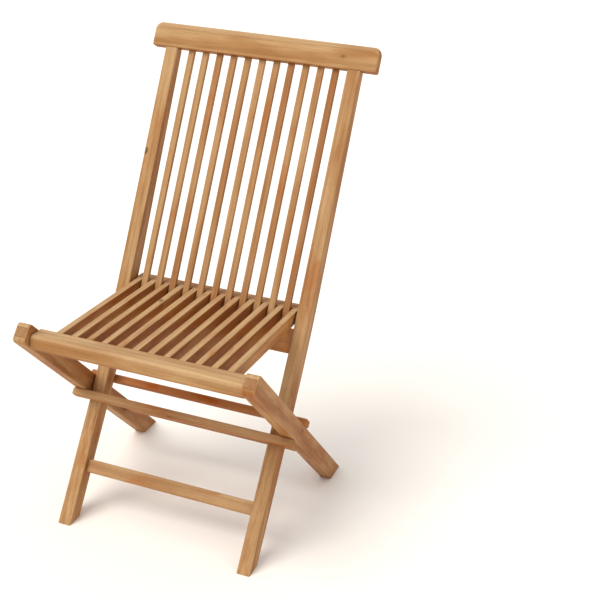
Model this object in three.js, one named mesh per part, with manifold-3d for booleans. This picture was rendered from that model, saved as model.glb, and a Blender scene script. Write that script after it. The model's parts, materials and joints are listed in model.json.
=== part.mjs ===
// Folding slatted teak chair, shown open and standing on the floor.
// Three frames make it: a back frame whose stiles run down to the front feet, a leg frame that
// crosses it and runs back to the rear feet, and a seat that hangs between them.
// Units are millimetres. X is across (right is +), Y is towards the back, Z is up.
import * as THREE from 'three';
import { mergeVertices } from 'three/addons/utils/BufferGeometryUtils.js';
import Module from 'manifold-3d';

const wasm = await Module();
wasm.setup();

// ---- driving dimensions -------------------------------------------------------------------
const GAP = 0.3;               // daylight left at a glued or screwed face
const MIDDLE_Y = 193.73;       // side-plane depth that lies over the middle of the chair

// back frame
const STILE_INSIDE = 176;      // inner face of each stile, from the middle
const STILE_WIDTH = 26;        // across
const STILE_DEPTH = 36;        // front to back, from the foot to the seat
const STILE_TOP_DEPTH = 24;    // front to back, under the crest
const FOOT_FRONT = -4;         // depth of the front foot's front edge on the floor
const FRONT_LEG_LEAN = 32.1;   // degrees from upright, below the bend
const BACK_LEAN = 25.5;        // degrees from upright, above the bend
const BEND_START = 190;        // heights between which the stile bends
const BEND_END = 480;
const BACK_AT_BEND_END = 276.4; // depth of the stile's front face at BEND_END
const CREST_BOTTOM = 854.6;    // height of the crest's lower front edge
const CREST_HALF = 232.5;
const CREST_HEIGHT = 49;
const CREST_DEPTH = 22;
const BACK_SLATS = 11;
const SEAT_SLATS = 12;
const SLAT_PITCH = 30;         // the two rows of slats pass each other, half a pitch apart
const SLAT_WIDTH = 12.5;
const BACK_SLAT_SETBACK = 12;  // behind the stile's front face
const BACK_SLAT_DEPTH = 9;
const LOWER_RAIL_TOP = 402;    // height of the lower back rail's top front edge
const LOWER_RAIL_HEIGHT = 48;
const LOWER_RAIL_DEPTH = 24;

// small bars, all cut from one stock
const BAR_HEIGHT = 26;
const BAR_DEPTH = 15;
const FRONT_BAR_HEIGHT = 94.5; // height of the front stretcher's middle
const REAR_BAR_ALONG = 178;    // rear stretcher's middle, along the leg from the crossing
const REAR_BAR_RISE = 4.5;     // and square to the leg, above its middle

// leg frame
const LEG_INSIDE = 205;
const LEG_WIDTH = 25;
const LEG_DEPTH = 38.5;
const LEG_SLOPE = 40.76;       // degrees below level, running back
const CROSSING = new THREE.Vector2(159.7, 228.2);
const SEAT_PIN = new THREE.Vector2(-72, 428);
const LEG_PAST_PIN = 34;
const LEG_END_RADIUS = 10;
const CROSSBAR_WIDTH = 22;     // along the leg
const CROSSBAR_HEIGHT = 15;    // out from the leg
const FRONT_CROSSBAR_FROM_PIN = 18;
const REAR_CROSSBAR_FROM_PIN = 15.6;
const CROSSBAR_OVERHANG = 2.5; // past the outer face of each leg
const BEARER_WIDTH = 20;
const BEARER_HEIGHT = 21;
const BEARER_BACK = 31;        // bearer's middle, behind and below the seat pin
const BEARER_DROP = 24.1;

// seat
const SEAT_TILT = 2.65;        // degrees, lower at the back
const RAIL_TOP = 14.4;         // top face of both rails and of the slats, above the seat pin
const FRONT_RAIL_HEIGHT = 29;
const REAR_RAIL_HEIGHT = 28;
const FRONT_RAIL_PLAY = 0.8;   // between each end of the front rail and the leg beside it
const REAR_RAIL_PLAY = 1;      // between each end of the rear rail and the stile beside it
const FRONT_RAIL_REACH = 20;   // in front of the pin
const FRONT_RAIL_BACK = 18;    // behind the pin
const REAR_RAIL_START = 350;   // behind the pin
const REAR_RAIL_DEPTH = 34;
const SEAT_SLAT_HEIGHT = 25;

// hinge pins
const PIN_RADIUS = 4;
const PIN_GRIP = 16;           // depth of the pin in each piece of wood
const BORE_RADIUS = PIN_RADIUS + 0.3;
const PIN_SIDES = 24;

// ---- materials ----------------------------------------------------------------------------
const teak = (name, color) =>
  new THREE.MeshStandardMaterial({ name, color, roughness: 0.55, metalness: 0 });
const teakFrame = teak('teak_frame', 0xb07848);
const teakRail = teak('teak_rail', 0xc08a5a);
const teakBackSlat = teak('teak_back_slat', 0xb5855a);
const teakSeatSlat = teak('teak_seat_slat', 0xc79b6e);
const brass = new THREE.MeshStandardMaterial(
  { name: 'brass', color: 0xb08d4a, roughness: 0.35, metalness: 1 });

// ---- helpers ------------------------------------------------------------------------------
const radians = THREE.MathUtils.degToRad;

// A group whose x runs back, y runs up and z runs across to the right.
const sidePlane = new THREE.Group();
sidePlane.quaternion.setFromRotationMatrix(new THREE.Matrix4().makeBasis(
  new THREE.Vector3(0, 1, 0), new THREE.Vector3(0, 0, 1), new THREE.Vector3(1, 0, 0)));

function frameAt(origin, turn) {
  const group = new THREE.Group();
  group.position.set(origin.x, origin.y, 0);
  group.rotation.z = turn;
  sidePlane.add(group);
  return group;
}

// Rectangle with one corner radius each for lower front, lower back, upper back, upper front.
function roundedRect(x0, y0, x1, y1, radii) {
  const corners = [[x0, y0, 1, 1], [x1, y0, -1, 1], [x1, y1, -1, -1], [x0, y1, 1, -1]];
  const shape = new THREE.Shape();
  corners.forEach(([x, y, inX, inY], i) => {
    const radius = radii[i];
    const start = Math.PI + i * Math.PI / 2;
    if (radius > 0) {
      shape.absarc(x + inX * radius, y + inY * radius, radius, start, start + Math.PI / 2, false);
    } else {
      shape[i === 0 ? 'moveTo' : 'lineTo'](x, y);
    }
  });
  return shape;
}
const rectangle = (x0, y0, x1, y1, radius) => roundedRect(x0, y0, x1, y1, Array(4).fill(radius));

// Outline swept across the chair from left to right, with softened end edges.
function swept(shape, left, right, edge = 1.5, curveSegments = 3) {
  const geometry = new THREE.ExtrudeGeometry(shape, {
    depth: right - left - 2 * edge, curveSegments, steps: 1,
    bevelEnabled: true, bevelThickness: edge, bevelSize: edge, bevelOffset: -edge, bevelSegments: 1,
  });
  geometry.translate(0, 0, left + edge);
  return geometry;
}

function toSolid(geometry) {
  const plain = geometry.index ? geometry.toNonIndexed() : geometry.clone();
  plain.deleteAttribute('normal');
  plain.deleteAttribute('uv');
  const merged = mergeVertices(plain, 1e-4);
  return new wasm.Manifold(new wasm.Mesh({
    numProp: 3,
    vertProperties: new Float32Array(merged.attributes.position.array),
    triVerts: new Uint32Array(merged.index.array),
  }));
}

function toGeometry(solid) {
  const mesh = solid.getMesh();
  const geometry = new THREE.BufferGeometry();
  geometry.setAttribute('position', new THREE.BufferAttribute(new Float32Array(mesh.vertProperties), 3));
  geometry.setIndex(new THREE.BufferAttribute(new Uint32Array(mesh.triVerts), 1));
  geometry.computeVertexNormals();
  return geometry;
}

// Round bar lying across the chair between two distances from the middle.
function crossRod(x, y, from, to, radius) {
  const rod = new THREE.CylinderGeometry(radius, radius, to - from, PIN_SIDES);
  rod.rotateX(Math.PI / 2);
  rod.translate(x, y, (from + to) / 2);
  return rod;
}

function drilled(geometry, rods) {
  const solid = rods.reduce((rest, rod) => rest.subtract(toSolid(rod)), toSolid(geometry));
  return toGeometry(solid);
}

function addPiece(parent, name, geometry, material) {
  const mesh = new THREE.Mesh(geometry, material);
  mesh.name = name;
  parent.add(mesh);
}

const twoDigits = (number) => String(number).padStart(2, '0');
const SIDES = [['left', -1], ['right', 1]];
const across = (side, inner, outer) => (side > 0 ? [inner, outer] : [-outer, -inner]);

// ---- side-plane lines ---------------------------------------------------------------------
const legLean = radians(FRONT_LEG_LEAN);
const backLean = radians(BACK_LEAN);
const lowerFront = (y) => FOOT_FRONT + y * Math.tan(legLean);
const upperFront = (y) => BACK_AT_BEND_END + (y - BEND_END) * Math.tan(backLean);

// Height at which the two straight runs of an edge would meet.
function meetingHeight(lower, upper) {
  const step = 1;
  const lowerSlope = lower(step) - lower(0);
  const upperSlope = upper(step) - upper(0);
  return (upper(0) - lower(0)) / (lowerSlope - upperSlope);
}

// ---- back frame ---------------------------------------------------------------------------
// Rear edge of the stile: parallel to the front edge below, closing in towards the crest above.
const lowerRear = (y) => lowerFront(y) + STILE_DEPTH / Math.cos(legLean);
const taper = (STILE_DEPTH - STILE_TOP_DEPTH) / Math.cos(backLean) / (CREST_BOTTOM - BEND_END);
const upperRear = (y) => upperFront(y) + STILE_DEPTH / Math.cos(backLean) - (y - BEND_END) * taper;

function stileOutline() {
  const topFront = new THREE.Vector2(upperFront(CREST_BOTTOM), CREST_BOTTOM);
  const squareCut = new THREE.Vector2(Math.cos(backLean), -Math.sin(backLean));
  const topRear = topFront.clone().addScaledVector(squareCut, STILE_TOP_DEPTH);
  const down = new THREE.Vector2(-Math.sin(backLean), -Math.cos(backLean)).multiplyScalar(GAP);
  topFront.add(down);
  topRear.add(down);
  const frontMeet = meetingHeight(lowerFront, upperFront);
  const rearMeet = meetingHeight(lowerRear, upperRear);
  const rearShift = Math.sin(backLean) * STILE_DEPTH;   // keeps both bends square across the stile
  const shape = new THREE.Shape();
  shape.moveTo(lowerFront(0), 0);
  shape.lineTo(lowerRear(0), 0);
  shape.lineTo(lowerRear(BEND_START - rearShift), BEND_START - rearShift);
  shape.quadraticCurveTo(lowerRear(rearMeet), rearMeet,
    upperRear(BEND_END - rearShift), BEND_END - rearShift);
  shape.lineTo(topRear.x, topRear.y);
  shape.lineTo(topFront.x, topFront.y);
  shape.lineTo(upperFront(BEND_END), BEND_END);
  shape.quadraticCurveTo(lowerFront(frontMeet), frontMeet, lowerFront(BEND_START), BEND_START);
  shape.lineTo(lowerFront(0), 0);
  return shape;
}

for (const [label, side] of SIDES) {
  const [left, right] = across(side, STILE_INSIDE, STILE_INSIDE + STILE_WIDTH);
  const outerFace = side * (STILE_INSIDE + STILE_WIDTH);
  const boreEnds = [outerFace - side * PIN_GRIP, outerFace + side * 2].sort((a, b) => a - b);
  const bore = crossRod(CROSSING.x, CROSSING.y, ...boreEnds, BORE_RADIUS);
  const stile = drilled(swept(stileOutline(), left, right, 2, 10), [bore]);
  addPiece(sidePlane, `stile_${label}`, stile, teakFrame);
}

// Frame standing on the stile's front face where the crest begins: y runs up the back.
const backFrame = frameAt(new THREE.Vector2(upperFront(CREST_BOTTOM), CREST_BOTTOM), -backLean);

function crestGeometry() {
  const section = toSolid(swept(roundedRect(0, 0, CREST_DEPTH, CREST_HEIGHT, [3, 3, 7, 9]),
    -CREST_HALF, CREST_HALF, 2, 5));
  const face = rectangle(-CREST_HALF, 0, CREST_HALF, CREST_HEIGHT, 6);
  const board = new THREE.ExtrudeGeometry(face,
    { depth: 3 * CREST_DEPTH, bevelEnabled: false, curveSegments: 5 });
  board.rotateY(Math.PI / 2);
  board.translate(-CREST_DEPTH, 0, 0);
  return toGeometry(section.intersect(toSolid(board)));
}
addPiece(backFrame, 'crest_rail', crestGeometry(), teakRail);

const lowerRailTop = -(CREST_BOTTOM - LOWER_RAIL_TOP) / Math.cos(backLean);
const innerHalf = STILE_INSIDE - GAP;
addPiece(backFrame, 'lower_back_rail',
  swept(rectangle(0, lowerRailTop - LOWER_RAIL_HEIGHT, LOWER_RAIL_DEPTH, lowerRailTop, 2),
    -innerHalf, innerHalf), teakRail);

for (let i = 0; i < BACK_SLATS; i++) {
  const middle = (i - (BACK_SLATS - 1) / 2) * SLAT_PITCH;
  const slat = rectangle(BACK_SLAT_SETBACK, lowerRailTop + GAP,
    BACK_SLAT_SETBACK + BACK_SLAT_DEPTH, -GAP, 0);
  addPiece(backFrame, `back_slat_${twoDigits(i + 1)}`,
    swept(slat, middle - SLAT_WIDTH / 2, middle + SLAT_WIDTH / 2), teakBackSlat);
}

const frontBarMiddle = new THREE.Vector2(
  lowerFront(FRONT_BAR_HEIGHT) + STILE_DEPTH / 2 / Math.cos(legLean), FRONT_BAR_HEIGHT);
const frontBarFrame = frameAt(frontBarMiddle, -legLean);
addPiece(frontBarFrame, 'front_stretcher',
  swept(rectangle(-BAR_DEPTH / 2, -BAR_HEIGHT / 2, BAR_DEPTH / 2, BAR_HEIGHT / 2, 2.5),
    -innerHalf, innerHalf), teakRail);

// ---- leg frame ----------------------------------------------------------------------------
// x runs down the leg from the crossing, y runs square to it on the upper side.
const slope = radians(LEG_SLOPE);
const legFrame = frameAt(CROSSING, -slope);
const pinAlong = -CROSSING.distanceTo(SEAT_PIN);

function legOutline() {
  const half = LEG_DEPTH / 2;
  const floorAt = (y) => (CROSSING.y + y * Math.cos(slope)) / Math.sin(slope);
  const end = pinAlong - LEG_PAST_PIN;
  const corner = LEG_END_RADIUS;
  const shape = new THREE.Shape();
  shape.moveTo(end + corner, -half);
  shape.lineTo(floorAt(-half), -half);
  shape.lineTo(floorAt(half), half);
  shape.lineTo(end + corner, half);
  shape.absarc(end + corner, half - corner, corner, Math.PI / 2, Math.PI, false);
  shape.lineTo(end, -half + corner);
  shape.absarc(end + corner, -half + corner, corner, Math.PI, 1.5 * Math.PI, false);
  return shape;
}

for (const [label, side] of SIDES) {
  const [left, right] = across(side, LEG_INSIDE, LEG_INSIDE + LEG_WIDTH);
  const boreEnds = [side * (LEG_INSIDE + PIN_GRIP), side * (LEG_INSIDE - 2)].sort((a, b) => a - b);
  const bores = [0, pinAlong].map((along) => crossRod(along, 0, ...boreEnds, BORE_RADIUS));
  addPiece(legFrame, `leg_${label}`, drilled(swept(legOutline(), left, right, 2, 5), bores), teakFrame);
}

// The two crossbars take the stiles between them and stop the frames from opening further.
const legHalf = LEG_DEPTH / 2 + GAP;
const crossbarHalf = LEG_INSIDE + LEG_WIDTH + CROSSBAR_OVERHANG;
addPiece(legFrame, 'front_crossbar',
  swept(rectangle(-FRONT_CROSSBAR_FROM_PIN - CROSSBAR_WIDTH, -legHalf - CROSSBAR_HEIGHT,
    -FRONT_CROSSBAR_FROM_PIN, -legHalf, 3.5), -crossbarHalf, crossbarHalf, 2.5), teakRail);
addPiece(legFrame, 'rear_crossbar',
  swept(rectangle(REAR_CROSSBAR_FROM_PIN, legHalf, REAR_CROSSBAR_FROM_PIN + CROSSBAR_WIDTH,
    legHalf + CROSSBAR_HEIGHT, 3.5), -crossbarHalf, crossbarHalf, 2.5), teakRail);

const legInnerHalf = LEG_INSIDE - GAP;
addPiece(legFrame, 'rear_stretcher',
  swept(rectangle(REAR_BAR_ALONG - BAR_HEIGHT / 2, REAR_BAR_RISE - BAR_DEPTH / 2,
    REAR_BAR_ALONG + BAR_HEIGHT / 2, REAR_BAR_RISE + BAR_DEPTH / 2, 2.5),
    -legInnerHalf, legInnerHalf), teakRail);

const bearerFrame = frameAt(new THREE.Vector2(SEAT_PIN.x + BEARER_BACK, SEAT_PIN.y - BEARER_DROP), 0);
addPiece(bearerFrame, 'seat_bearer',
  swept(rectangle(-BEARER_WIDTH / 2, -BEARER_HEIGHT / 2, BEARER_WIDTH / 2, BEARER_HEIGHT / 2, 2),
    -legInnerHalf, legInnerHalf), teakRail);

// ---- seat ---------------------------------------------------------------------------------
const seatFrame = frameAt(SEAT_PIN, -radians(SEAT_TILT));
const frontRailHalf = LEG_INSIDE - FRONT_RAIL_PLAY;
const rearRailHalf = STILE_INSIDE - REAR_RAIL_PLAY;
const frontRailBores = SIDES.map(([, side]) => {
  const ends = [side * (frontRailHalf - PIN_GRIP), side * (frontRailHalf + 2)].sort((a, b) => a - b);
  return crossRod(0, 0, ...ends, BORE_RADIUS);
});
addPiece(seatFrame, 'seat_front_rail',
  drilled(swept(roundedRect(-FRONT_RAIL_REACH, RAIL_TOP - FRONT_RAIL_HEIGHT, FRONT_RAIL_BACK, RAIL_TOP,
    [8, 2, 0, 9]), -frontRailHalf, frontRailHalf, 1.5, 5), frontRailBores), teakRail);

addPiece(seatFrame, 'seat_rear_rail',
  swept(roundedRect(REAR_RAIL_START, RAIL_TOP - REAR_RAIL_HEIGHT, REAR_RAIL_START + REAR_RAIL_DEPTH,
    RAIL_TOP, [2, 4, 9, 0]), -rearRailHalf, rearRailHalf, 1.5, 5), teakRail);

for (let i = 0; i < SEAT_SLATS; i++) {
  const middle = (i - (SEAT_SLATS - 1) / 2) * SLAT_PITCH;
  const slat = rectangle(FRONT_RAIL_BACK + GAP, RAIL_TOP - SEAT_SLAT_HEIGHT,
    REAR_RAIL_START - GAP, RAIL_TOP, 0);
  addPiece(seatFrame, `seat_slat_${twoDigits(i + 1)}`,
    swept(slat, middle - SLAT_WIDTH / 2, middle + SLAT_WIDTH / 2), teakSeatSlat);
}

// ---- hinge pins ---------------------------------------------------------------------------
for (const [label, side] of SIDES) {
  const legBottomOfBore = side * (LEG_INSIDE + PIN_GRIP - GAP);
  const crossing = [side * (STILE_INSIDE + STILE_WIDTH - PIN_GRIP + GAP), legBottomOfBore];
  const seat = [side * (frontRailHalf - PIN_GRIP + GAP), legBottomOfBore];
  addPiece(sidePlane, `crossing_pin_${label}`,
    crossRod(CROSSING.x, CROSSING.y, ...crossing.sort((a, b) => a - b), PIN_RADIUS), brass);
  addPiece(sidePlane, `seat_pin_${label}`,
    crossRod(SEAT_PIN.x, SEAT_PIN.y, ...seat.sort((a, b) => a - b), PIN_RADIUS), brass);
}

sidePlane.position.y = -MIDDLE_Y;
const chair = new THREE.Group();
chair.add(sidePlane);
export default chair;
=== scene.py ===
import json
import math
import random

import bpy
from mathutils import Matrix, Vector

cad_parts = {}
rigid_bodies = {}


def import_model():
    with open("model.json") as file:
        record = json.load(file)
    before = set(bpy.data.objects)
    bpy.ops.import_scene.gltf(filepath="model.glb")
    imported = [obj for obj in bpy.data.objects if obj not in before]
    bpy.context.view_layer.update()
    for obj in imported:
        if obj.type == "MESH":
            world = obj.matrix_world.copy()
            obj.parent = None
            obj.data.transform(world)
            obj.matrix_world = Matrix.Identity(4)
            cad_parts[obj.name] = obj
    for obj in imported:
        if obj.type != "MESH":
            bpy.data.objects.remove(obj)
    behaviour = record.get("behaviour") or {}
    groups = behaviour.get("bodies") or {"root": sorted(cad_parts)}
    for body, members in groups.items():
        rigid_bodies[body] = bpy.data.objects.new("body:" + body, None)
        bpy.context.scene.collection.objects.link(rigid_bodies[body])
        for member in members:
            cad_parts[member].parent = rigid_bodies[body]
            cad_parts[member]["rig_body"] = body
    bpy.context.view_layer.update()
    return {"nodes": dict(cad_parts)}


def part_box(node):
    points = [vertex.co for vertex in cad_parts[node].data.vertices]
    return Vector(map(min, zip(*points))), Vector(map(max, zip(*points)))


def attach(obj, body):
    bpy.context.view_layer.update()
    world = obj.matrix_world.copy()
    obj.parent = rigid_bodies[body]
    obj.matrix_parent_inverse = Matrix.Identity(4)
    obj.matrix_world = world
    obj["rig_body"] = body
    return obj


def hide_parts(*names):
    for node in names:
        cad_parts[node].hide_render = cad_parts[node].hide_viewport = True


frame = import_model()
print("stage: frame loaded")

mm = 0.001
chance = random.Random(41)   # picks where in the log each stick was sawn
wavePeriod = math.pi / 10    # metres between the lines of a wave texture at scale 1

# sockets of a colour mix, by number because the node has several of the same name
mixShare, mixFrom, mixTo, mixColour = 0, 6, 7, 2


def srgbToLinear(hexColour):
    channels = [int(hexColour[i:i + 2], 16) / 255 for i in (1, 3, 5)]
    linear = [c / 12.92 if c <= 0.04045 else ((c + 0.055) / 1.055) ** 2.4 for c in channels]
    return (*linear, 1.0)


def addNode(tree, kind, settings=None, inputs=None):
    node = tree.nodes.new(kind)
    for name, value in (settings or {}).items():
        setattr(node, name, value)
    for name, value in (inputs or {}).items():
        if isinstance(value, tuple) and isinstance(value[0], bpy.types.Node):
            tree.links.new(value[0].outputs[value[1]], node.inputs[name])
        else:
            node.inputs[name].default_value = value
    return node


def grainScale(length, width):
    # a pattern whose marks are this many millimetres along the grain and across it
    return 1 / (length * mm), 1 / (width * mm), 1 / (width * mm)


# Teak, planed and sanded with fine paper and left without varnish: warm honey brown, a low silky
# sheen, thin darker streaks along the grain and the odd small knot.
teakLook = {
    "honey": "#ad8657",
    "russet": "#8d5526",
    # pale wood, also used as the painted highlight on faces turned up
    "pale": "#c3a47b",
    "deep": "#a05a18",            # painted shade: the colour laid on faces turned away from the key light
    "paintedShadePale": "#b98146",        # the lighter streaks in that painted shade
    "amber": "#a4560f",           # where oil has come to the surface
    "latewood": "#6f3d18",
    "pore": "#60391d",
    "knot": "#4a2b18",
    "endGrain": "#7f5026",
    "ringSpacing": 11.0,          # mm between growth rings
    "ringStretch": 0.12,          # rings wander this much slower along the grain
    "streakWidth": 2.2,           # mm
    "streakLength": 90.0,         # mm
    "poreWidth": 0.8,             # mm, real ones are about 0.3 and would not show
    "poreLength": 9.0,            # mm
    "driftWidth": 30.0,           # mm, slow change from pale to russet
    "driftLength": 150.0,         # mm
    "blotchWidth": 45.0,          # mm
    "blotchLength": 110.0,        # mm
    "blotchPlace": (3.1, 1.7, 4.3),   # so that blotches don't lie on the drift's own pattern
    "knotSpacing": 62.0,          # mm between places where a knot may sit
    "knotStretch": 0.6,           # they lie further apart along the grain
    "amberShare": 0.6,
    # how much pale is painted as a highlight on faces turned up
    "paintedTopHighlightShare": 0.85,
    "ringStrength": 0.22,
    "streakStrength": 0.26,
    "poreStrength": 0.3,
    "knotStrength": 0.75,
    "endStrength": 0.55,
    "rubbedStrength": 0.12,
    "towardsKeyLight": (-0.25, -0.55, 0.8),   # where the key light comes from; faces turned away from it get the painted shade
    # faces turned this way get the painted highlight
    "upwards": (0.0, -0.2, 0.98),
    "ior": 1.5,
    "specular": 0.15,             # dry open wood gives back little of what light glances off it
    "smoothest": 0.46,            # roughness between the streaks
    "roughest": 0.66,             # and on them
    "streakRelief": 0.6,          # height of the streaks against the pores' depth
    "reliefDepth": 0.12,          # mm
    "reliefStrength": 0.5,
}


# paintedShadeShare is how much shade is painted on the faces turned away from the key light
def makeTeak(name, look, paleShare, russetShare, paintedShadeShare):
    material = bpy.data.materials.new(name)
    material.use_nodes = True
    tree = material.node_tree
    tree.nodes.clear()
    out = addNode(tree, "ShaderNodeOutputMaterial")
    shader = addNode(tree, "ShaderNodeBsdfPrincipled", None,
                     {"IOR": look["ior"], "Metallic": 0.0, "Specular IOR Level": look["specular"]})
    tree.links.new(shader.outputs["BSDF"], out.inputs["Surface"])

    wood = addNode(tree, "ShaderNodeAttribute",
                   {"attribute_type": "GEOMETRY", "attribute_name": "woodGrain"})
    tone = addNode(tree, "ShaderNodeAttribute",
                   {"attribute_type": "OBJECT", "attribute_name": "tone"})
    oil = addNode(tree, "ShaderNodeAttribute",
                  {"attribute_type": "OBJECT", "attribute_name": "oil"})

    # growth rings round a pith line that lies along the piece, stretched so that they run long
    ringSpace = addNode(tree, "ShaderNodeMapping", {"vector_type": "POINT"},
                        {"Vector": (wood, "Vector"), "Scale": (look["ringStretch"], 1.0, 1.0)})
    rings = addNode(tree, "ShaderNodeTexWave",
                    {"wave_type": "RINGS", "rings_direction": "X", "wave_profile": "SAW"},
                    {"Vector": (ringSpace, "Vector"),
                     "Scale": wavePeriod / (look["ringSpacing"] * mm), "Distortion": 7.0,
                     "Detail": 2.5, "Detail Scale": 0.22, "Detail Roughness": 0.55})
    ringLine = addNode(tree, "ShaderNodeMapRange", {"interpolation_type": "SMOOTHSTEP"},
                       {"Value": (rings, "Fac"), "From Min": 0.35, "From Max": 1.0})

    # fine streaks lengthwise
    streakSpace = addNode(tree, "ShaderNodeMapping", {"vector_type": "POINT"},
                          {"Vector": (wood, "Vector"),
                           "Scale": grainScale(look["streakLength"], look["streakWidth"])})
    streaks = addNode(tree, "ShaderNodeTexNoise", {"noise_dimensions": "3D"},
                      {"Vector": (streakSpace, "Vector"), "Scale": 1.0, "Detail": 3.0,
                       "Roughness": 0.6, "Distortion": 0.3})
    streakLine = addNode(tree, "ShaderNodeMapRange", {"interpolation_type": "SMOOTHSTEP"},
                         {"Value": (streaks, "Fac"), "From Min": 0.42, "From Max": 0.72})

    # short open pores
    poreSpace = addNode(tree, "ShaderNodeMapping", {"vector_type": "POINT"},
                        {"Vector": (wood, "Vector"),
                         "Scale": grainScale(look["poreLength"], look["poreWidth"])})
    pores = addNode(tree, "ShaderNodeTexNoise", {"noise_dimensions": "3D"},
                    {"Vector": (poreSpace, "Vector"), "Scale": 1.0, "Detail": 1.0,
                     "Roughness": 0.5})
    poreMark = addNode(tree, "ShaderNodeMapRange", {"interpolation_type": "SMOOTHSTEP"},
                       {"Value": (pores, "Fac"), "From Min": 0.6, "From Max": 0.74})

    # slow drift between pale and russet wood
    driftSpace = addNode(tree, "ShaderNodeMapping", {"vector_type": "POINT"},
                         {"Vector": (wood, "Vector"),
                          "Scale": grainScale(look["driftLength"], look["driftWidth"])})
    drift = addNode(tree, "ShaderNodeTexNoise", {"noise_dimensions": "3D"},
                    {"Vector": (driftSpace, "Vector"), "Scale": 1.0, "Detail": 2.0,
                     "Roughness": 0.5})

    # oily blotches, with more ragged edges than the drift
    blotchSpace = addNode(tree, "ShaderNodeMapping", {"vector_type": "POINT"},
                          {"Vector": (wood, "Vector"), "Location": look["blotchPlace"],
                           "Scale": grainScale(look["blotchLength"], look["blotchWidth"])})
    blotches = addNode(tree, "ShaderNodeTexNoise", {"noise_dimensions": "3D"},
                       {"Vector": (blotchSpace, "Vector"), "Scale": 1.0, "Detail": 4.0,
                        "Roughness": 0.62, "Distortion": 0.6})
    amberAmount = addNode(tree, "ShaderNodeMapRange", {"interpolation_type": "SMOOTHSTEP"},
                          {"Value": (blotches, "Fac"), "From Min": 0.52, "From Max": 0.72,
                           "To Min": 0.0, "To Max": look["amberShare"]})
    oilAmount = addNode(tree, "ShaderNodeMath", {"operation": "ADD", "use_clamp": True},
                        {0: (oil, "Fac"), 1: (amberAmount, "Result")})

    # a few small knots
    knotSpace = addNode(tree, "ShaderNodeMapping", {"vector_type": "POINT"},
                        {"Vector": (wood, "Vector"),
                         "Scale": grainScale(look["knotSpacing"] / look["knotStretch"],
                                             look["knotSpacing"])})
    knots = addNode(tree, "ShaderNodeTexVoronoi", {"voronoi_dimensions": "3D", "feature": "F1"},
                    {"Vector": (knotSpace, "Vector"), "Scale": 1.0, "Randomness": 1.0})
    knotMark = addNode(tree, "ShaderNodeMapRange", {"interpolation_type": "SMOOTHSTEP"},
                       {"Value": (knots, "Distance"), "From Min": 0.1, "From Max": 0.04})

    # painted light and shade: faces turned away from the key light are painted deeper and redder as
    # if in shade, and faces turned up are painted paler as a highlight
    facing = addNode(tree, "ShaderNodeTexCoord")
    toneMix = addNode(tree, "ShaderNodeMix", {"data_type": "RGBA"},
                      {mixShare: (tone, "Fac"), mixFrom: srgbToLinear(look["honey"]),
                       mixTo: srgbToLinear(look["russet"])})
    facingKeyLight = addNode(tree, "ShaderNodeVectorMath", {"operation": "DOT_PRODUCT"},
                      {0: (facing, "Normal"), 1: look["towardsKeyLight"]})
    # painted shade mask: how far a face is turned away from the key light
    paintedShade = addNode(tree, "ShaderNodeMapRange", {"interpolation_type": "SMOOTHSTEP"},
                        {"Value": (facingKeyLight, "Value"), "From Min": 0.55, "From Max": -0.1,
                         "To Min": 0.0, "To Max": paintedShadeShare})
    paintedShadeStreaks = addNode(tree, "ShaderNodeMapRange", None,
                         {"Value": (drift, "Fac"), "From Min": 0.36, "From Max": 0.56})
    paintedShadeColour = addNode(tree, "ShaderNodeMix", {"data_type": "RGBA"},
                      {mixShare: (paintedShadeStreaks, "Result"), mixFrom: srgbToLinear(look["paintedShadePale"]),
                       mixTo: srgbToLinear(look["deep"])})
    paintedShadeMix = addNode(tree, "ShaderNodeMix", {"data_type": "RGBA"},
                           {mixShare: (paintedShade, "Result"), mixFrom: (toneMix, mixColour),
                            mixTo: (paintedShadeColour, mixColour)})
    upward = addNode(tree, "ShaderNodeVectorMath", {"operation": "DOT_PRODUCT"},
                     {0: (facing, "Normal"), 1: look["upwards"]})
    paintedTopHighlight = addNode(tree, "ShaderNodeMapRange", {"interpolation_type": "SMOOTHSTEP"},
                       {"Value": (upward, "Value"), "From Min": 0.55, "From Max": 0.98,
                        "To Min": 0.0, "To Max": look["paintedTopHighlightShare"]})

    # the drift's pale end shows only where no shade is painted
    paleAmount = addNode(tree, "ShaderNodeMapRange", None,
                         {"Value": (drift, "Fac"), "From Min": 0.35, "From Max": 0.6,
                          "To Min": paleShare, "To Max": 0.0})
    unshadedShare = addNode(tree, "ShaderNodeMath", {"operation": "SUBTRACT"},
                        {0: 1.0, 1: (paintedShade, "Result")})
    unshadedPale = addNode(tree, "ShaderNodeMath", {"operation": "MULTIPLY"},
                       {0: (paleAmount, "Result"), 1: (unshadedShare, "Value")})
    russetAmount = addNode(tree, "ShaderNodeMapRange", None,
                           {"Value": (drift, "Fac"), "From Min": 0.48, "From Max": 0.72,
                            "To Min": 0.0, "To Max": russetShare})
    # the first mix paints a highlight in the pale colour on faces turned up, the others lay on the
    # real pale, russet and oily wood
    colour = paintedShadeMix
    for amount, output, tint in ((paintedTopHighlight, "Result", "pale"), (unshadedPale, "Value", "pale"),
                                 (russetAmount, "Result", "russet"),
                                 (oilAmount, "Value", "amber")):
        colour = addNode(tree, "ShaderNodeMix", {"data_type": "RGBA"},
                         {mixShare: (amount, output), mixFrom: (colour, mixColour),
                          mixTo: srgbToLinear(look[tint])})

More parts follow.
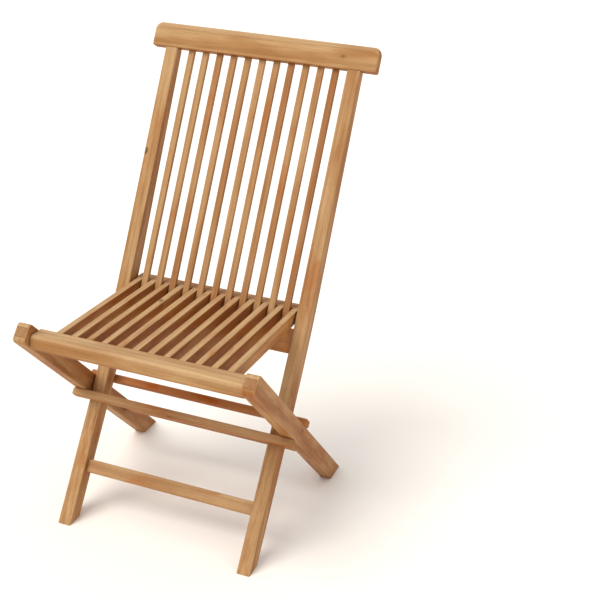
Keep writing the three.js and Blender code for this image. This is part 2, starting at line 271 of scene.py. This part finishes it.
    # marks over that colour; cut ends drink more light, rubbed edges lose a little of their colour
    cutEnd = addNode(tree, "ShaderNodeAttribute",
                     {"attribute_type": "GEOMETRY", "attribute_name": "cutEnd"})
    rubbedEdge = addNode(tree, "ShaderNodeAttribute",
                         {"attribute_type": "GEOMETRY", "attribute_name": "rubbedEdge"})
    for mark, output, strength, tint in ((ringLine, "Result", "ringStrength", "latewood"),
                                         (streakLine, "Result", "streakStrength", "latewood"),
                                         (poreMark, "Result", "poreStrength", "pore"),
                                         (knotMark, "Result", "knotStrength", "knot"),
                                         (cutEnd, "Fac", "endStrength", "endGrain"),
                                         (rubbedEdge, "Fac", "rubbedStrength", "pale")):
        amount = addNode(tree, "ShaderNodeMath", {"operation": "MULTIPLY"},
                         {0: (mark, output), 1: look[strength]})
        colour = addNode(tree, "ShaderNodeMix", {"data_type": "RGBA"},
                         {mixShare: (amount, "Value"), mixFrom: (colour, mixColour),
                          mixTo: srgbToLinear(look[tint])})
    tree.links.new(colour.outputs[mixColour], shader.inputs["Base Color"])

    gloss = addNode(tree, "ShaderNodeMapRange", None,
                    {"Value": (streaks, "Fac"), "From Min": 0.3, "From Max": 0.75,
                     "To Min": look["smoothest"], "To Max": look["roughest"]})
    tree.links.new(gloss.outputs["Result"], shader.inputs["Roughness"])
    relief = addNode(tree, "ShaderNodeMath", {"operation": "MULTIPLY_ADD"},
                     {0: (streaks, "Fac"), 1: look["streakRelief"], 2: (poreMark, "Result")})
    bump = addNode(tree, "ShaderNodeBump", {"invert": True},
                   {"Strength": look["reliefStrength"], "Distance": look["reliefDepth"] * mm,
                    "Height": (relief, "Value")})
    tree.links.new(bump.outputs["Normal"], shader.inputs["Normal"])
    return material


# the same wood with more or less painted shade: slats and rails get more of the deep colour painted
# on faces turned away from the key light
sandedTeakFrame = makeTeak("sandedTeakFrame", teakLook,
                           paleShare=0.55, russetShare=0.35, paintedShadeShare=0.55)
sandedTeakRail = makeTeak("sandedTeakRail", teakLook,
                          paleShare=0.55, russetShare=0.4, paintedShadeShare=0.9)
sandedTeakBackSlat = makeTeak("sandedTeakBackSlat", teakLook,
                              paleShare=0.35, russetShare=0.5, paintedShadeShare=0.85)
sandedTeakSeatSlat = makeTeak("sandedTeakSeatSlat", teakLook,
                              paleShare=0.65, russetShare=0.3, paintedShadeShare=1.0)

# Turned brass rod, bare and a little dulled by the air: soft yellow, with fine lines round it.
brassLook = {
    "fresh": "#b9964f",
    "dull": "#7d6233",
    "lineSpacing": 0.4,           # mm between the tool's lines
    "lineDepth": 0.03,            # mm
    "lineStrength": 0.2,
    "cloudSize": 8.333,           # mm across a dulled patch
    "smoothest": 0.32,
    "roughest": 0.47,
}


def makeBrass(name, look):
    material = bpy.data.materials.new(name)
    material.use_nodes = True
    tree = material.node_tree
    shader = tree.nodes["Principled BSDF"]
    shader.inputs["Metallic"].default_value = 1.0
    here = addNode(tree, "ShaderNodeTexCoord")
    lathe = addNode(tree, "ShaderNodeTexWave", {"wave_type": "BANDS", "bands_direction": "X"},
                    {"Vector": (here, "Object"), "Scale": wavePeriod / (look["lineSpacing"] * mm),
                     "Distortion": 1.5, "Detail": 2.0})
    cloud = addNode(tree, "ShaderNodeTexNoise", None,
                    {"Vector": (here, "Object"), "Scale": 1 / (look["cloudSize"] * mm),
                     "Detail": 4.0})
    colour = addNode(tree, "ShaderNodeMix", {"data_type": "RGBA"},
                     {mixShare: (cloud, "Fac"), mixFrom: srgbToLinear(look["fresh"]),
                      mixTo: srgbToLinear(look["dull"])})
    rough = addNode(tree, "ShaderNodeMapRange", None,
                    {"Value": (lathe, "Fac"), "To Min": look["smoothest"],
                     "To Max": look["roughest"]})
    bump = addNode(tree, "ShaderNodeBump", None,
                   {"Strength": look["lineStrength"], "Distance": look["lineDepth"] * mm,
                    "Height": (lathe, "Fac")})
    tree.links.new(colour.outputs[mixColour], shader.inputs["Base Color"])
    tree.links.new(rough.outputs["Result"], shader.inputs["Roughness"])
    tree.links.new(bump.outputs["Normal"], shader.inputs["Normal"])
    return material


turnedBrass = makeBrass("turnedBrass", brassLook)
print("stage: materials made")

# how any stick of wood is shaped
stock = {
    "cornerSteps": 4,        # facets round each softened edge
    "shoulder": 1.2,         # mm of flat beside an edge that still shows its rubbed colour
    "largestShoulder": 0.2,  # share of a face
    "smallestRadius": 0.15,  # mm
    "largestRadius": 0.45,   # share of a face
    "endWear": 0.8,          # how rubbed the wood is beside a cut end
    "endWearReach": 0.6,     # share of the end's own radius
    "smallestReach": 1.0,    # mm
    "samePlace": 0.001,      # mm, closer than this is the same place
}

# where in the log a stick may have been sawn, in metres
sawnFrom = {"along": (-3, 3), "fromPith": (0.03, 0.12), "sideways": (-0.06, 0.06)}

# degrees from upright, towards the back of the chair, as in the CAD
leans = {"back": 25.5, "foot": 32.1, "leg": -49.24, "seat": 2.65, "level": 0.0}

# how much more of a piece oil has darkened than its blotches do, or how much less
oily = {
    "rearCrossbar": 0.7, "frontCrossbar": 0.15, "lowerBackRail": 0.45, "seatBearer": 0.3,
    "seatRearRail": 0.2, "crestRail": -0.3, "stileLeft": -0.15, "stileRight": -0.1,
    "seatFrontRail": -0.25, "legLeft": -0.1, "legRight": -0.15,
}


# Grain runs along a piece's own x. Its z points to the rear of an upright piece and up from a
# cross piece.
def uprightAxes(lean):
    s, c = math.sin(math.radians(lean)), math.cos(math.radians(lean))
    return Vector((0, s, c)), Vector((1, 0, 0)), Vector((0, c, -s))


def crossAxes(lean):
    s, c = math.sin(math.radians(lean)), math.cos(math.radians(lean))
    return Vector((1, 0, 0)), Vector((0, c, -s)), Vector((0, s, c))


def nodeExtent(node, axes):
    points = [v.co for v in frame["nodes"][node].data.vertices]
    return [(min(p.dot(a) for p in points), max(p.dot(a) for p in points)) for a in axes]


def evenEnd(radius):
    return {"y": radius, "zLow": radius, "zHigh": radius}


def inMetres(end):
    return {side: radius * mm for side, radius in end.items()}


def softened(distance, radius):
    # how far an edge of that radius has drawn in at this distance from the end
    if radius <= 0 or distance >= radius:
        return 0.0
    return radius - math.sqrt(max(radius * radius - (radius - distance) ** 2, 0))


def ringPoints(y0, y1, z0, z1, radii):
    # one turn round a section: points, and how rubbed each is
    wide, deep = y1 - y0, z1 - z0
    corners = [(y0, z0, 1, 1, 180), (y1, z0, -1, 1, 270), (y1, z1, -1, -1, 0), (y0, z1, 1, -1, 90)]
    shoulder = min(stock["shoulder"] * mm, wide * stock["largestShoulder"],
                   deep * stock["largestShoulder"])
    points = []
    for (y, z, inY, inZ, start), radius in zip(corners, radii):
        radius = min(radius, wide * stock["largestRadius"], deep * stock["largestRadius"])
        radius = max(radius, stock["smallestRadius"] * mm)
        centreY, centreZ = y + inY * radius, z + inZ * radius
        arc = []
        for k in range(stock["cornerSteps"] + 1):
            angle = math.radians(start + 90 * k / stock["cornerSteps"])
            arc.append((centreY + radius * math.cos(angle), centreZ + radius * math.sin(angle), 1.0))
        # the arc runs anticlockwise, so flats lie before its first point and after its last
        first, last = arc[0], arc[-1]
        before, after = math.radians(start + 90), math.radians(start + 180)
        points.append((first[0] - shoulder * math.cos(before),
                       first[1] - shoulder * math.sin(before), 0.0))
        points.extend(arc)
        points.append((last[0] + shoulder * math.cos(after),
                       last[1] + shoulder * math.sin(after), 0.0))
    return points


def stickMesh(name, x0, x1, section, radii, lowEnd, highEnd, extraStations=(), shear=None):
    # section(x) gives y0, y1, z0, z1. lowEnd and highEnd are the softening radii at the two cut
    # ends. shear(x) leans a section over, for an end that isn't cut square.
    stations = {x0, x1}
    for end, sign, origin in ((lowEnd, 1, x0), (highEnd, -1, x1)):
        for radius in {end["y"], end["zLow"], end["zHigh"]}:
            for k in range(stock["cornerSteps"] + 1):
                angle = math.radians(90 * k / stock["cornerSteps"])
                stations.add(round(origin + sign * radius * (1 - math.sin(angle)), 7))
    stations.update(extraStations)
    stations = sorted(stations)
    wearReach = stock["endWearReach"] * max(lowEnd["y"], stock["smallestReach"] * mm)
    verts, rubbed, cutEnd, rings = [], [], [], []

    def addRing(x, inset, isEnd):
        y0, y1, z0, z1 = section(x)
        low, high = x - x0, x1 - x
        drawY = max(softened(low, lowEnd["y"]), softened(high, highEnd["y"]))
        drawLow = max(softened(low, lowEnd["zLow"]), softened(high, highEnd["zLow"]))
        drawHigh = max(softened(low, lowEnd["zHigh"]), softened(high, highEnd["zHigh"]))
        shrunk = [max(r - min(drawY, drawLow, drawHigh), 0.0) for r in radii]
        middle = (z0 + z1) / 2
        slope = shear(x) if shear else 0.0
        fromEnd = min(low, high)
        endWear = stock["endWear"] if fromEnd < wearReach else 0.0
        ring = []
        for y, z, wear in ringPoints(y0 + drawY + inset, y1 - drawY - inset,
                                     z0 + drawLow + inset, z1 - drawHigh - inset, shrunk):
            ring.append(len(verts))
            verts.append((x + slope * (z - middle), y, z))
            rubbed.append(0.0 if isEnd else max(wear, endWear))
            cutEnd.append(1.0 if isEnd or fromEnd < stock["samePlace"] * mm else 0.0)
        rings.append(ring)

    shoulder = stock["shoulder"] * mm
    addRing(stations[0], shoulder, True)
    for x in stations:
        addRing(x, 0.0, False)
    addRing(stations[-1], shoulder, True)
    faces = []
    for a, b in zip(rings, rings[1:]):
        n = len(a)
        for i in range(n):
            j = (i + 1) % n
            faces.append((b[i], b[j], a[j], a[i]))
    faces.append(tuple(rings[0]))
    faces.append(tuple(reversed(rings[-1])))
    mesh = bpy.data.meshes.new(name)
    mesh.from_pydata(verts, [], faces)
    mesh.validate()
    mesh.attributes.new("rubbedEdge", "FLOAT", "POINT").data.foreach_set("value", rubbed)
    mesh.attributes.new("cutEnd", "FLOAT", "POINT").data.foreach_set("value", cutEnd)
    mesh.polygons.foreach_set("use_smooth", [True] * len(mesh.polygons))
    return mesh


def placePiece(name, node, mesh, axes, origin, material, tone):
    cut = Vector((chance.uniform(*sawnFrom["along"]),
                  chance.uniform(*sawnFrom["fromPith"]) * chance.choice((-1, 1)),
                  chance.uniform(*sawnFrom["sideways"])))
    grain = [c for v in mesh.vertices for c in v.co + cut]
    mesh.attributes.new("woodGrain", "FLOAT_VECTOR", "POINT").data.foreach_set("vector", grain)
    mesh.transform(Matrix.Translation(origin) @ Matrix(axes).transposed().to_4x4())
    mesh.materials.append(material)
    piece = bpy.data.objects.new(name, mesh)
    bpy.context.scene.collection.objects.link(piece)
    weighted = piece.modifiers.new("flatFacesStayFlat", "WEIGHTED_NORMAL")
    weighted.keep_sharp = False
    piece["tone"] = tone
    piece["oil"] = oily.get(name, 0.0)
    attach(piece, frame["nodes"][node]["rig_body"])
    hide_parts(node)


def straightPiece(name, node, axes, material, tone, radii, end):
    extent = nodeExtent(node, axes)
    origin = sum((axis * (low + high) / 2 for axis, (low, high) in zip(axes, extent)), Vector())
    halfX, halfY, halfZ = ((high - low) / 2 for low, high in extent)
    mesh = stickMesh(name, -halfX, halfX, lambda x: (-halfY, halfY, -halfZ, halfZ),
                     [r * mm for r in radii], inMetres(end), inMetres(end))
    placePiece(name, node, mesh, axes, origin, material, tone)


# stiles: straight below, gently bent at the seat, thinner towards the crest, sizes in mm
stile = {
    "footFront": -4.0,        # the sole's front, where the chair's middle is at middleY
    "bendStart": 190.0, "bendEnd": 480.0, "bendSteps": 12,
    "frontAtBendEnd": 276.4, "top": 854.6, "middleY": 193.73,
    "depth": 36.0, "topDepth": 24.0, "topGap": 0.3,
    "edge": 2.0, "soleEdge": 0.8, "topEdge": 0.5,
    "soleBlend": 90.0,        # over this length the sections turn from level to square
    "soleStep": 10.0, "soleSteps": 11, "topStep": 60.0, "topSteps": 5, "stepClearance": 2.0,
    "tones": {"left": 0.1, "right": 0.35},
}


def stileEdges():
    # front and rear edge of the stile in the side plane, each as (y, z) points from the sole up
    footLean, backLean = math.radians(leans["foot"]), math.radians(leans["back"])
    cosBack, sinBack = math.cos(backLean), math.sin(backLean)
    taper = (stile["depth"] - stile["topDepth"]) / cosBack / (stile["top"] - stile["bendEnd"])
    rearDrop = sinBack * stile["depth"]

    def lowerFront(z):
        return stile["footFront"] + z * math.tan(footLean)

    def upperFront(z):
        return stile["frontAtBendEnd"] + (z - stile["bendEnd"]) * math.tan(backLean)

    def lowerRear(z):
        return lowerFront(z) + stile["depth"] / math.cos(footLean)

    def upperRear(z):
        return upperFront(z) + stile["depth"] / cosBack - (z - stile["bendEnd"]) * taper

    def edge(lower, upper, start, end, topPoint):
        # the bend is a curve whose middle control point is where the two straight runs meet
        meet = (upper(0) - lower(0)) / ((lower(1) - lower(0)) - (upper(1) - upper(0)))
        p0, p1, p2 = (Vector((run(z), z)) for run, z in ((lower, start), (lower, meet), (upper, end)))
        steps = [k / stile["bendSteps"] for k in range(stile["bendSteps"] + 1)]
        bend = [p0 * (1 - t) ** 2 + p1 * 2 * t * (1 - t) + p2 * t * t for t in steps]
        return [Vector((lower(0), 0))] + bend + [topPoint]

    alongStile, acrossStile = Vector((sinBack, cosBack)), Vector((cosBack, -sinBack))
    topFront = Vector((upperFront(stile["top"]), stile["top"])) - alongStile * stile["topGap"]
    topRear = topFront + acrossStile * stile["topDepth"]
    return (edge(lowerFront, upperFront, stile["bendStart"], stile["bendEnd"], topFront),
            edge(lowerRear, upperRear, stile["bendStart"] - rearDrop,
                 stile["bendEnd"] - rearDrop, topRear))


def depthAt(points, x):
    for (xa, za), (xb, zb) in zip(points, points[1:]):
        if x <= xb:
            return za + (zb - za) * (x - xa) / (xb - xa)
    return points[-1][1]


def makeStile(side, tone):
    axes = uprightAxes(leans["back"])
    low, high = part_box(f"stile_{side}")

    def toStile(point):
        y, z = (point[0] - stile["middleY"]) * mm, point[1] * mm
        return y * axes[0].y + z * axes[0].z, y * axes[2].y + z * axes[2].z

    front, rear = ([toStile(point) for point in edge] for edge in stileEdges())
    soleX, topX = (front[0][0] + rear[0][0]) / 2, front[-1][0]
    soleShear = (rear[0][0] - front[0][0]) / (rear[0][1] - front[0][1])

    def slope(x):
        return soleShear * max(0.0, 1 - (x - soleX) / (stile["soleBlend"] * mm))

    def section(x):
        zFront, zRear = depthAt(front, x), depthAt(rear, x)
        for _ in range(6):  # a sheared section meets each edge a little above or below x
            middle = (zFront + zRear) / 2
            zFront = depthAt(front, x + slope(x) * (zFront - middle))
            zRear = depthAt(rear, x + slope(x) * (zRear - middle))
        return low.x, high.x, zFront, zRear

    stops = [soleX + k * stile["soleStep"] * mm for k in range(1, stile["soleSteps"] + 1)]
    stops += [point[0] for point in front[1:-1]]
    stops += [topX - k * stile["topStep"] * mm for k in range(1, stile["topSteps"] + 1)]
    clearance = stile["stepClearance"] * mm
    stops = [s for s in stops if soleX + clearance < s < topX - clearance]
    name = f"stile{side.capitalize()}"
    mesh = stickMesh(name, soleX, topX, section, [stile["edge"] * mm] * 4,
                     inMetres(evenEnd(stile["soleEdge"])), inMetres(evenEnd(stile["topEdge"])),
                     stops, slope)
    placePiece(name, f"stile_{side}", mesh, axes, Vector(), sandedTeakFrame, tone)


for side, tone in stile["tones"].items():
    makeStile(side, tone)
print("stage: stiles made")

# legs: straight, cut level at the floor and rounded over at the top, sizes in mm
leg = {
    "edge": 2.0, "soleEdge": 0.8,
    "topEnd": {"y": 2.5, "zLow": 10.0, "zHigh": 10.0},
    "soleBlend": 120.0, "soleStep": 10.0, "soleSteps": 13,
    "tones": {"left": 0.35, "right": 0.5},
}


def makeLeg(side, tone):
    axes = uprightAxes(leans["leg"])
    (x0, x1), (y0, y1), (z0, z1) = nodeExtent(f"leg_{side}", axes)
    middle = (z0 + z1) / 2
    halfY, halfZ = (y1 - y0) / 2, (z1 - z0) / 2
    soleShear = axes[2].z / -axes[0].z
    soleX = -middle * axes[2].z / axes[0].z

    def slope(x):
        return soleShear * max(0.0, 1 - (x - soleX) / (leg["soleBlend"] * mm))

    stops = [soleX + k * leg["soleStep"] * mm for k in range(1, leg["soleSteps"] + 1)]
    name = f"leg{side.capitalize()}"
    mesh = stickMesh(name, soleX, x1, lambda x: (-halfY, halfY, -halfZ, halfZ),
                     [leg["edge"] * mm] * 4, inMetres(evenEnd(leg["soleEdge"])),
                     inMetres(leg["topEnd"]), stops, slope)
    origin = axes[2] * middle + axes[1] * ((y0 + y1) / 2)
    placePiece(name, f"leg_{side}", mesh, axes, origin, sandedTeakFrame, tone)


for side, tone in leg["tones"].items():
    makeLeg(side, tone)
print("stage: legs made")

# rails and bars, sizes in mm. radii are those of the long edges: lower front, lower back, upper
# back, upper front. end is how the two cut ends are softened: at the sides, below and on top.
tenonedEnd = evenEnd(0.6)
crossbarEnd = {"y": 5, "zLow": 7, "zHigh": 7}
rails = {
    "crestRail": {"node": "crest_rail", "lean": "back", "radii": (2.5, 2.5, 8, 10),
                  "end": {"y": 4, "zLow": 4, "zHigh": 13}, "tone": 0.1},
    "lowerBackRail": {"node": "lower_back_rail", "lean": "back", "radii": (2, 2, 2, 2),
                      "end": tenonedEnd, "tone": 0.55},
    "frontStretcher": {"node": "front_stretcher", "lean": "foot", "radii": (2.2, 2.2, 2.2, 2.2),
                       "end": tenonedEnd, "tone": 0.5},
    "frontCrossbar": {"node": "front_crossbar", "lean": "leg", "radii": (2.5, 2.5, 2.5, 2.5),
                      "end": crossbarEnd, "tone": 0.25},
    "rearCrossbar": {"node": "rear_crossbar", "lean": "leg", "radii": (2.5, 2.5, 2.5, 2.5),
                     "end": crossbarEnd, "tone": 0.5},
    "rearStretcher": {"node": "rear_stretcher", "lean": "leg", "radii": (2.2, 2.2, 2.2, 2.2),
                      "end": tenonedEnd, "tone": 0.4},
    "seatBearer": {"node": "seat_bearer", "lean": "level", "radii": (2.5, 2.5, 2.5, 2.5),
                   "end": tenonedEnd, "tone": 0.5},
    "seatFrontRail": {"node": "seat_front_rail", "lean": "seat", "radii": (8, 2, 0.8, 9),
                      "end": evenEnd(2), "tone": 0.2},
    "seatRearRail": {"node": "seat_rear_rail", "lean": "seat", "radii": (2, 4, 9, 0.8),
                     "end": evenEnd(1), "tone": 0.6},
}
for name, rail in rails.items():
    straightPiece(name, rail["node"], crossAxes(leans[rail["lean"]]), sandedTeakRail,
                  rail["tone"], rail["radii"], rail["end"])
print("stage: rails made")

# slats, sizes in mm
backSlat = {"edge": 1.1, "endEdge": 0.5,
            "tones": (0.2, 0.35, 0.65, 0.4, 0.45, 0.35, 0.5, 0.8, 0.4, 0.3, 0.9)}
for i, tone in enumerate(backSlat["tones"], start=1):
    straightPiece(f"backSlat{i:02d}", f"back_slat_{i:02d}", uprightAxes(leans["back"]),
                  sandedTeakBackSlat, tone, [backSlat["edge"]] * 4,
                  evenEnd(backSlat["endEdge"]))

seatSlat = {"edge": 1.1, "endEdge": 0.5,
            "tones": (0.3, 0.2, 0.4, 0.15, 0.35, 0.3, 0.2, 0.25, 0.4, 0.15, 0.3, 0.2)}
for i, tone in enumerate(seatSlat["tones"], start=1):
    straightPiece(f"seatSlat{i:02d}", f"seat_slat_{i:02d}", uprightAxes(90 + leans["seat"]),
                  sandedTeakSeatSlat, tone, [seatSlat["edge"]] * 4,
                  evenEnd(seatSlat["endEdge"]))
print("stage: slats made")

for node, thing in frame["nodes"].items():
    if "pin" in node:
        thing.data.materials.clear()
        thing.data.materials.append(turnedBrass)
print("stage: pins coloured")

# floor and light, sizes in metres
studio = {
    "floorColour": "#fbfbfa", "floorSize": 30.0, "floorRoughness": 0.95,
    "worldColour": "#fffaf4", "worldStrength": 0.7,
    "key": {"at": (-2.6, -3.9, 6.4), "softness": 38.0, "strength": 2.35, "colour": "#fff7ed"},
    "fill": {"at": (3.6, -2.4, 2.4), "softness": 40.0, "strength": 0.12, "colour": "#f6f8ff"},
    "aim": (0.0, 0.0, 0.42),
}


def makeFloor():
    # matt white paint on a smooth floor: no sheen, and it holds only the chair's soft shadow
    half = studio["floorSize"] / 2
    mesh = bpy.data.meshes.new("studioFloor")
    mesh.from_pydata([(-half, -half, 0), (half, -half, 0), (half, half, 0), (-half, half, 0)],
                     [], [(0, 1, 2, 3)])
    floor = bpy.data.objects.new("studioFloor", mesh)
    bpy.context.scene.collection.objects.link(floor)
    paint = bpy.data.materials.new("paintedStudioFloor")
    paint.use_nodes = True
    shader = paint.node_tree.nodes["Principled BSDF"]
    shader.inputs["Roughness"].default_value = studio["floorRoughness"]
    shader.inputs["Base Color"].default_value = srgbToLinear(studio["floorColour"])
    mesh.materials.append(paint)


def makeLight(name, light):
    lamp = bpy.data.lights.new(name, "SUN")   # far away, so that the floor is evenly lit
    lamp.angle = math.radians(light["softness"])
    lamp.energy = light["strength"]
    lamp.color = srgbToLinear(light["colour"])[:3]
    thing = bpy.data.objects.new(name, lamp)
    bpy.context.scene.collection.objects.link(thing)
    thing.location = light["at"]
    towards = Vector(studio["aim"]) - Vector(light["at"])
    thing.rotation_euler = towards.to_track_quat("-Z", "Y").to_euler()


def makeWorld():
    world = bpy.data.worlds.new("studioWorld")
    world.use_nodes = True
    sky = world.node_tree.nodes["Background"]
    sky.inputs["Color"].default_value = srgbToLinear(studio["worldColour"])
    sky.inputs["Strength"].default_value = studio["worldStrength"]
    bpy.context.scene.world = world
    bpy.context.scene.view_settings.view_transform = "Standard"


makeFloor()
makeLight("keyLight", studio["key"])
makeLight("fillLight", studio["fill"])
makeWorld()

# seen from the front right and above, from about two and a half metres
viewer = {
    "place": (0.8588, -2.0480, 1.4159), "azimuth": 23.02, "elevation": 23.95, "roll": 1.93,
    "lens": 76.58, "sensorWidth": 36, "shift": (0.1768, 0.0107),
}


def makeCamera():
    a, e, r = (math.radians(viewer[k]) for k in ("azimuth", "elevation", "roll"))
    forward = Vector((-math.sin(a) * math.cos(e), math.cos(a) * math.cos(e), -math.sin(e)))
    level = Vector((math.cos(a), math.sin(a), 0))
    up = level.cross(forward)
    right = level * math.cos(r) + up * math.sin(r)
    top = right.cross(forward)
    lens = bpy.data.cameras.new("viewer")
    lens.lens = viewer["lens"]
    lens.sensor_width = viewer["sensorWidth"]
    lens.shift_x, lens.shift_y = viewer["shift"]
    camera = bpy.data.objects.new("viewer", lens)
    bpy.context.scene.collection.objects.link(camera)
    turned = Matrix((right, top, -forward)).transposed().to_4x4()
    camera.matrix_world = Matrix.Translation(viewer["place"]) @ turned
    bpy.context.scene.camera = camera


makeCamera()
print("stage: studio made")
